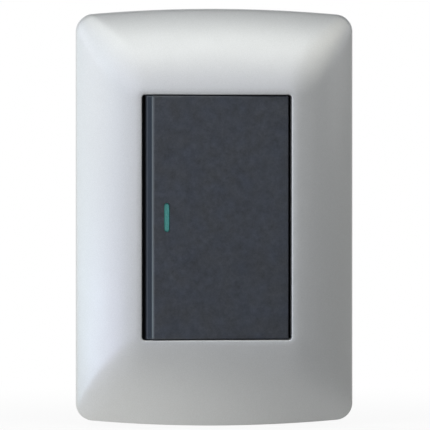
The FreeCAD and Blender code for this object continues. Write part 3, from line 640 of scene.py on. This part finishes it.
def grained(name, dark, light, roughness, grain, relief, metallic=0.0, stretch=(1, 1, 1)):
    """Surface with a fine grain in its colour, gloss and relief, and soft clouds in its colour and gloss."""
    made, tree, shader = material(name)
    fine = noise(tree, grain, detail=3.0, stretch=stretch)
    cloud = noise(tree, CLOUD_SIZE * grain, stretch=stretch)
    clouded = tree.nodes.new("ShaderNodeMix")
    clouded.inputs["Factor"].default_value = CLOUD_SHARE
    link(tree, fine, "Fac", clouded, "A")
    link(tree, cloud, "Fac", clouded, "B")
    shade = spread(tree, clouded, "Result", 0, 1)
    link_colour(tree, mixed_colour(tree, "MIX", shade, dark, light), shader, "Base Color")
    dull = roughness * (1 + GLOSS_SPREAD)
    gloss = spread(tree, clouded, "Result", dull, roughness * (1 - GLOSS_SPREAD))
    link(tree, gloss, "Result", shader, "Roughness")
    bump(tree, shader, fine, relief)
    shader.inputs["Metallic"].default_value = metallic
    return made


def silver_lacquer():
    """Satin silver lacquer: fine metal flake in its colour and relief, and soft clouds in its gloss."""
    flake_size = 0.22
    flake_relief = 0.0022
    cloud_size = 4.0
    dark = (0.57, 0.578, 0.585)
    light = (0.63, 0.638, 0.648)
    glossiest = 0.37
    dullest = 0.41
    made, tree, shader = material("silver_lacquer")
    flake = noise(tree, flake_size)
    base = mixed_colour(tree, "MIX", spread(tree, flake, "Fac", 0, 1), dark, light)
    link_colour(tree, base, shader, "Base Color")
    gloss = spread(tree, noise(tree, cloud_size), "Fac", glossiest, dullest)
    link(tree, gloss, "Result", shader, "Roughness")
    bump(tree, shader, flake, flake_relief)
    shader.inputs["Metallic"].default_value = 0.65
    return made


def share_right_of(tree, x):
    """Share 0 to the left of an upright line in the object's own space, and 1 to the right of it."""
    half_blur = 0.1
    place = tree.nodes.new("ShaderNodeTexCoord")
    parts = tree.nodes.new("ShaderNodeSeparateXYZ")
    link(tree, place, "Object", parts, "Vector")
    return spread(tree, parts, "X", 0, 1, ((x - half_blur) * MM, (x + half_blur) * MM))


def key_colour(tree, mottle, edge, painted_highlight_share, face):
    """Colours of the key: painted shade on the outer edge, bluer strip, painted highlight on the step, and a
    mottled face with cool patches.
    """
    dark = (0.0245, 0.0270, 0.0330)
    light = (0.0515, 0.0570, 0.0680)
    cool = (0.82, 0.92, 1.12)
    patch_size = 5.0
    patch_share = 0.55
    # painted shade: the key's outermost edge is painted darker, standing in for the shade under the plate's
    # collar
    painted_shade_colour = (0.010, 0.014, 0.024)
    strip_colour = (0.028, 0.037, 0.053)
    # painted highlight: the step and its crest are painted lighter, standing in for the lamps' glint on them
    painted_highlight_colour = (0.085, 0.102, 0.118)
    mottled = mixed_colour(tree, "MIX", spread(tree, mottle, "Fac", 0, 1), dark, light)
    patches = spread(tree, noise(tree, patch_size, detail=1.5), "Fac", 0, patch_share)
    patchy = mixed_colour(tree, "MULTIPLY", patches, mottled, cool)
    # the bluer strip, with painted shade on its outer edge
    strip_and_painted_shade = mixed_colour(tree, "MIX", edge, painted_shade_colour, strip_colour)
    # painted highlight on the step, over the strip
    low = mixed_colour(tree, "MIX", painted_highlight_share, strip_and_painted_shade, painted_highlight_colour)
    return mixed_colour(tree, "MIX", face, low, patchy)


def charcoal_key():
    """Key: satin charcoal plastic, mottled on its face and smoother on its strip, with a rougher outer edge
    in painted shade and a painted highlight on the step.
    """
    mottle_size = 2.4
    mottle_relief = 0.004
    strip_roughness = 0.2
    face_roughness = 0.32
    added_at_edge = 0.45
    made, tree, shader = material("charcoal_plastic")
    mottle = noise(tree, mottle_size, detail=4.0)
    mottle.inputs["Roughness"].default_value = 0.9
    # the edge share sets a rougher finish and painted shade on the outer edge
    edge = share_right_of(tree, key_edge_x)
    # this share sets the painted highlight on the step
    painted_highlight_share = share_right_of(tree, key_step_x)
    face = share_right_of(tree, key_crest_x)
    link_colour(tree, key_colour(tree, mottle, edge, painted_highlight_share, face), shader, "Base Color")
    gloss = tree.nodes.new("ShaderNodeMath")
    link(tree, spread(tree, face, "Result", strip_roughness, face_roughness, (0, 1)), "Result", gloss, 0)
    link(tree, spread(tree, edge, "Result", added_at_edge, 0, (0, 1)), "Result", gloss, 1)
    link(tree, gloss, "Value", shader, "Roughness")
    bump(tree, shader, mottle, mottle_relief)
    return made


def dress(name, finish):
    """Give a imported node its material."""
    piece = nodes[name]
    piece.data.materials.clear()
    piece.data.materials.append(finish)


def round_corners(name, width):
    """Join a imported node's triangles into whole faces, and round its sharp corners."""
    piece = nodes[name]
    weld = piece.modifiers.new("weld", "WELD")
    weld.merge_threshold = 0.002 * MM
    flat = piece.modifiers.new("flat", "DECIMATE")
    flat.decimate_type = "DISSOLVE"
    flat.angle_limit = math.radians(0.3)
    soft = piece.modifiers.new("soft", "BEVEL")
    soft.width = width * MM
    soft.segments = 2
    soft.limit_method = "ANGLE"
    soft.angle_limit = math.radians(40)
    even = piece.modifiers.new("even", "WEIGHTED_NORMAL")
    even.weight = 90
    piece.data.shade_smooth()


# Lamps: azimuth and elevation in degrees, distance, width and height in metres, power in watts, colour
LAMPS = [
    ("rear_left_softbox", 215, 35, 0.9, 0.5, 0.5, 1.5, (1.0, 1.0, 1.0)),
    ("rear_right_softbox", 145, 25, 0.9, 0.5, 0.5, 1.5, (1.0, 1.0, 1.0)),
    ("left_softbox", -90, 2, 0.38, 0.3, 0.3, 0.21, (0.84, 0.95, 1.00)),
    ("near_left_strip", -62, 5, 0.2, 0.1, 0.2, 0.018, (0.95, 0.90, 1.00)),
    ("front_left_softbox", -30, 3, 0.5, 0.2, 0.3, 0.105, (0.72, 0.80, 1.00)),
    ("upper_left_softbox", -48, 22, 0.5, 0.35, 0.3, 0.50, (0.92, 0.97, 1.00)),
    ("low_left_strip", -50, -12, 0.2, 0.15, 0.03, 0.023, (0.71, 0.71, 1.00)),
    ("low_far_left_strip", -65, -9, 0.22, 0.12, 0.04, 0.010, (0.50, 0.90, 1.00)),
    ("front_fill", -8, 12, 1.2, 0.5, 0.3, 0.92, (0.85, 0.87, 1.00)),
    ("low_top_softbox", -5, 26, 0.6, 0.45, 0.15, 0.14, (1.00, 1.00, 1.00)),
    ("top_softbox", -5, 38, 0.6, 0.45, 0.2, 0.40, (0.98, 0.99, 0.94)),
    ("high_top_softbox", -5, 52, 0.6, 0.45, 0.25, 0.47, (0.96, 0.98, 0.95)),
    ("upper_right_softbox", 36, 32, 0.6, 0.25, 0.2, 0.25, (0.97, 0.95, 0.84)),
    ("near_right_strip", 72, 25, 0.25, 0.12, 0.12, 0.025, (1.00, 1.00, 1.00)),
]

# Light that falls from all round, and what reflections see: front left, front right, left, right
WORLD_COLOUR = (0.95, 0.98, 1.0)
WORLD_LEVEL = 0.32
ROOM_LEVELS = (0.0, 0.22, 0.62, 0.0)
FLOOR_LEVELS = (0.70, 0.0, 1.0, 0.40)
BACK_LEVEL = 1.0

# Where the studio changes, along X and Y on a sphere about the part
LEFT_TO_RIGHT = (-0.8, 0.8)
FRONT_TO_SIDES = (-1.0, 0.2)
SIDES_TO_BACK = (0.05, 0.7)

# Floor, whose own shade shows within the near distance and fades out by the far one, in metres
FLOOR_REACH = 6.0
FLOOR_COLOUR = (0.86, 0.855, 0.85)
FLOOR_REFLECTED = (1.01, 1.0, 0.94)
FLOOR_NEAR = 0.05
FLOOR_FAR = 0.35
FLOOR_WHITE_SHARE = 0.88

# Camera: degrees, metres, and a long lens in millimetres
CAMERA_AZIMUTH = -5.0
CAMERA_ELEVATION = 0.5
CAMERA_DISTANCE = 1.9
CAMERA_AIM = (0.00029, 0, 0.00062)
CAMERA_LENS = 551


def look_from(holder, azimuth, elevation, distance, aim=(0, 0, 0)):
    """Place a lamp or camera at angles in degrees and a distance from its aim, and turn it there."""
    a = math.radians(azimuth)
    e = math.radians(elevation)
    away = Vector((math.sin(a) * math.cos(e), -math.cos(a) * math.cos(e), math.sin(e)))
    holder.location = Vector(aim) + away * distance
    holder.rotation_euler = away.to_track_quat("Z", "Y").to_euler()


def build_lights():
    """Soft lamps: the strongest behind, strong ones above the front, and weak ones low at the sides."""
    for name, azimuth, elevation, distance, width, height, power, colour in LAMPS:
        light = bpy.data.lights.new(name, "AREA")
        light.shape = "RECTANGLE"
        light.size = width
        light.size_y = height
        light.energy = power
        light.color = colour
        holder = bpy.data.objects.new(name, light)
        holder.visible_camera = False
        bpy.context.scene.collection.objects.link(holder)
        look_from(holder, azimuth, elevation, distance)


def seen_directly(tree):
    """Share 1 for what the camera, a mirror or glass looks at, and 0 for light that falls on things."""
    path = tree.nodes.new("ShaderNodeLightPath")
    total = path.outputs["Is Camera Ray"]
    for output in ("Is Glossy Ray", "Is Transmission Ray"):
        added = tree.nodes.new("ShaderNodeMath")
        added.operation = "ADD"
        added.use_clamp = True
        tree.links.new(total, added.inputs[0])
        link(tree, path, output, added, 1)
        total = added.outputs[0]
    return total


def blended(tree, source, output, limits, first, second):
    """Number that goes from one value or node to another as a coordinate goes between limits."""
    share = tree.nodes.new("ShaderNodeMapRange")
    share.interpolation_type = "SMOOTHSTEP"
    share.inputs["From Min"].default_value = limits[0]
    share.inputs["From Max"].default_value = limits[1]
    link(tree, source, output, share, "Value")
    mixed = tree.nodes.new("ShaderNodeMix")
    link(tree, share, "Result", mixed, "Factor")
    for value, socket in ((first, "A"), (second, "B")):
        if isinstance(value, float):
            mixed.inputs[socket].default_value = value
        else:
            link(tree, value, "Result", mixed, socket)
    return mixed


def studio_level(tree, source, output, levels):
    """Strength of what is seen: 1 by the camera and through glass, and a studio in reflections.

    The studio has a level in front on the left and right, and one beside on the left and right.
    Behind the part it is white.
    """
    parts = tree.nodes.new("ShaderNodeSeparateXYZ")
    link(tree, source, output, parts, "Vector")
    front = blended(tree, parts, "X", LEFT_TO_RIGHT, levels[0], levels[1])
    beside = blended(tree, parts, "X", LEFT_TO_RIGHT, levels[2], levels[3])
    sides = blended(tree, parts, "Y", FRONT_TO_SIDES, front, beside)
    room = blended(tree, parts, "Y", SIDES_TO_BACK, sides, BACK_LEVEL)
    path = tree.nodes.new("ShaderNodeLightPath")
    chosen = tree.nodes.new("ShaderNodeMix")
    chosen.inputs["A"].default_value = 1.0
    link(tree, path, "Is Glossy Ray", chosen, "Factor")
    link(tree, room, "Result", chosen, "B")
    return chosen


def build_world():
    """Weak even light, a white background, and a studio for reflections, brightest on the left."""
    world = bpy.data.worlds.new("studio")
    bpy.context.scene.world = world
    world.use_nodes = True
    tree = world.node_tree
    tree.nodes.clear()
    fill = tree.nodes.new("ShaderNodeBackground")
    fill.inputs["Color"].default_value = (*WORLD_COLOUR, 1)
    fill.inputs["Strength"].default_value = WORLD_LEVEL
    seen = tree.nodes.new("ShaderNodeBackground")
    seen.inputs["Color"].default_value = (1, 1, 1, 1)
    place = tree.nodes.new("ShaderNodeTexCoord")
    level = studio_level(tree, place, "Generated", ROOM_LEVELS)
    link(tree, level, "Result", seen, "Strength")
    mixed = tree.nodes.new("ShaderNodeMixShader")
    end = tree.nodes.new("ShaderNodeOutputWorld")
    tree.links.new(seen_directly(tree), mixed.inputs[0])
    tree.links.new(fill.outputs[0], mixed.inputs[1])
    tree.links.new(seen.outputs[0], mixed.inputs[2])
    tree.links.new(mixed.outputs[0], end.inputs["Surface"])


def floor_glow(tree, path, place):
    """Plain light of the floor: white to the camera, and a warm studio floor in reflections."""
    white = tree.nodes.new("ShaderNodeEmission")
    tone = tree.nodes.new("ShaderNodeMix")
    tone.data_type = "RGBA"
    tone.inputs[COLOUR_A].default_value = (1, 1, 1, 1)
    tone.inputs[COLOUR_B].default_value = (*FLOOR_REFLECTED, 1)
    link(tree, path, "Is Glossy Ray", tone, "Factor")
    link_colour(tree, tone, white, "Color")
    heading = tree.nodes.new("ShaderNodeVectorMath")
    heading.operation = "NORMALIZE"
    link(tree, place, "Position", heading, 0)
    level = studio_level(tree, heading, "Vector", FLOOR_LEVELS)
    link(tree, level, "Result", white, "Strength")
    return white


def floor_glow_share(tree, path, place):
    """Share of the plain light: all of it in reflections and far away, and most of it near the part."""
    far = tree.nodes.new("ShaderNodeVectorMath")
    far.operation = "LENGTH"
    fade = tree.nodes.new("ShaderNodeMapRange")
    fade.interpolation_type = "SMOOTHSTEP"
    fade.inputs["From Min"].default_value = FLOOR_NEAR
    fade.inputs["From Max"].default_value = FLOOR_FAR
    fade.inputs["To Min"].default_value = FLOOR_WHITE_SHARE
    plain = tree.nodes.new("ShaderNodeMath")
    plain.operation = "MAXIMUM"
    share = tree.nodes.new("ShaderNodeMath")
    share.operation = "MULTIPLY"
    link(tree, place, "Position", far, 0)
    link(tree, far, "Value", fade, "Value")
    link(tree, fade, "Result", plain, 0)
    link(tree, path, "Is Glossy Ray", plain, 1)
    link(tree, plain, "Value", share, 0)
    tree.links.new(seen_directly(tree), share.inputs[1])
    return share


def floor_paint():
    """Pale matt paint, which takes the part's shadow and turns plain white away from it."""
    made, tree, shader = material("floor_paint")
    shader.inputs["Base Color"].default_value = (*FLOOR_COLOUR, 1)
    shader.inputs["Roughness"].default_value = 0.9
    shader.inputs["Specular IOR Level"].default_value = 0.1
    path = tree.nodes.new("ShaderNodeLightPath")
    place = tree.nodes.new("ShaderNodeNewGeometry")
    white = floor_glow(tree, path, place)
    mixed = tree.nodes.new("ShaderNodeMixShader")
    link(tree, floor_glow_share(tree, path, place), "Value", mixed, 0)
    link(tree, shader, "BSDF", mixed, 1)
    tree.links.new(white.outputs[0], mixed.inputs[2])
    tree.links.new(mixed.outputs[0], tree.nodes["Material Output"].inputs["Surface"])
    return made


def build_floor():
    """Pale floor at the part's lowest point."""
    mesh = bpy.data.meshes.new("floor")
    z = cad_box[0][2]
    corners = [(x * FLOOR_REACH, y * FLOOR_REACH, z) for x, y in ((-1, -1), (1, -1), (1, 1), (-1, 1))]
    mesh.from_pydata(corners, [], [(0, 1, 2, 3)])
    mesh.materials.append(floor_paint())
    floor = bpy.data.objects.new("floor", mesh)
    bpy.context.scene.collection.objects.link(floor)


def build_camera():
    """Long lens, a little left of straight on, as in the photograph."""
    data = bpy.data.cameras.new("camera")
    data.lens = CAMERA_LENS
    data.sensor_width = 36
    data.clip_end = 100
    camera = bpy.data.objects.new("camera", data)
    bpy.context.scene.collection.objects.link(camera)
    look_from(camera, CAMERA_AZIMUTH, CAMERA_ELEVATION, CAMERA_DISTANCE, CAMERA_AIM)
    bpy.context.scene.camera = camera


# Grained finishes: dark and light colour, roughness, grain and relief in millimetres, metal share, stretch
GRAINED = {
    "bare_abs": ((0.50, 0.50, 0.50), (0.56, 0.56, 0.555), 0.5, 0.6, 0.004),
    "black_plastic": ((0.010, 0.012, 0.019), (0.019, 0.021, 0.030), 0.5, 0.5, 0.004),
    "frame_plastic": ((0.56, 0.56, 0.54), (0.62, 0.62, 0.60), 0.48, 0.7, 0.004),
    "grey_plastic": ((0.14, 0.14, 0.145), (0.175, 0.175, 0.18), 0.5, 0.5, 0.005),
    "natural_nylon": ((0.70, 0.67, 0.58), (0.78, 0.75, 0.66), 0.45, 0.6, 0.003),
    "resistor_body": ((0.56, 0.44, 0.27), (0.64, 0.52, 0.33), 0.35, 0.5, 0.002),
    "teal_lens": ((0.049, 0.222, 0.208), (0.070, 0.284, 0.265), 0.25, 0.8, 0.001),
    "lamp_glass": ((0.9, 0.93, 0.93), (0.95, 0.97, 0.97), 0.05, 1.0, 0.0),
    "zinc_steel": ((0.50, 0.52, 0.53), (0.64, 0.66, 0.67), 0.32, 0.4, 0.001, 1.0),
    "spring_steel": ((0.5, 0.5, 0.5), (0.62, 0.62, 0.6), 0.28, 0.3, 0.001, 1.0),
    "brass": ((0.70, 0.50, 0.24), (0.80, 0.60, 0.31), 0.3, 0.4, 0.001, 1.0, (0.1, 1, 1)),
    "copper_alloy": ((0.68, 0.38, 0.21), (0.77, 0.46, 0.27), 0.3, 0.4, 0.001, 1.0),
    "contact_silver": ((0.80, 0.79, 0.75), (0.88, 0.87, 0.84), 0.25, 0.3, 0.001, 1.0),
    "electrode_nickel": ((0.5, 0.49, 0.45), (0.6, 0.59, 0.54), 0.35, 0.3, 0.001, 1.0),
    "tinned_wire": ((0.68, 0.68, 0.66), (0.8, 0.8, 0.79), 0.3, 0.3, 0.001, 1.0),
}

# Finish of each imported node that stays
DRESSED = {
    "mounting_frame": "frame_plastic",
    "rocker_tray": "black_plastic",
    "rocker_key": "charcoal_plastic",
    "indicator_lens": "teal_lens",
    "rocker_actuator": "natural_nylon",
    "spring_plunger": "natural_nylon",
    "mechanism_cover": "grey_plastic",
    "mechanism_base": "grey_plastic",
    "housing_rivets": "brass",
    "contact_blade": "copper_alloy",
    "moving_contact": "contact_silver",
    "fixed_contact": "contact_silver",
    "common_terminal": "brass",
    "switched_terminal": "brass",
    "terminal_clamps": "zinc_steel",
    "terminal_screws": "zinc_steel",
    "lamp_holder": "natural_nylon",
    "neon_lamp": "lamp_glass",
    "lamp_electrodes": "electrode_nickel",
    "lamp_leads": "tinned_wire",
    "lamp_resistor": "resistor_body",
}

# Moulded nodes whose corners are rounded, and by how many millimetres
ROUNDED = {
    "mounting_frame": 0.15,
    "rocker_tray": 0.12,
    "mechanism_base": 0.12,
    "mechanism_cover": 0.12,
}

bpy.context.scene.view_settings.view_transform = "Standard"
build_camera()
build_lights()
build_world()
build_floor()

finishes = {name: grained(name, *values) for name, values in GRAINED.items()}
finishes["charcoal_plastic"] = charcoal_key()
glass_shader = finishes["lamp_glass"].node_tree.nodes["Principled BSDF"]
glass_shader.inputs["Transmission Weight"].default_value = 1.0

build_plate(silver_lacquer(), finishes["bare_abs"])
build_screws(finishes["zinc_steel"])
build_spring(finishes["spring_steel"])
for name, finish in DRESSED.items():
    dress(name, finishes[finish])
for name, width in ROUNDED.items():
    round_corners(name, width)
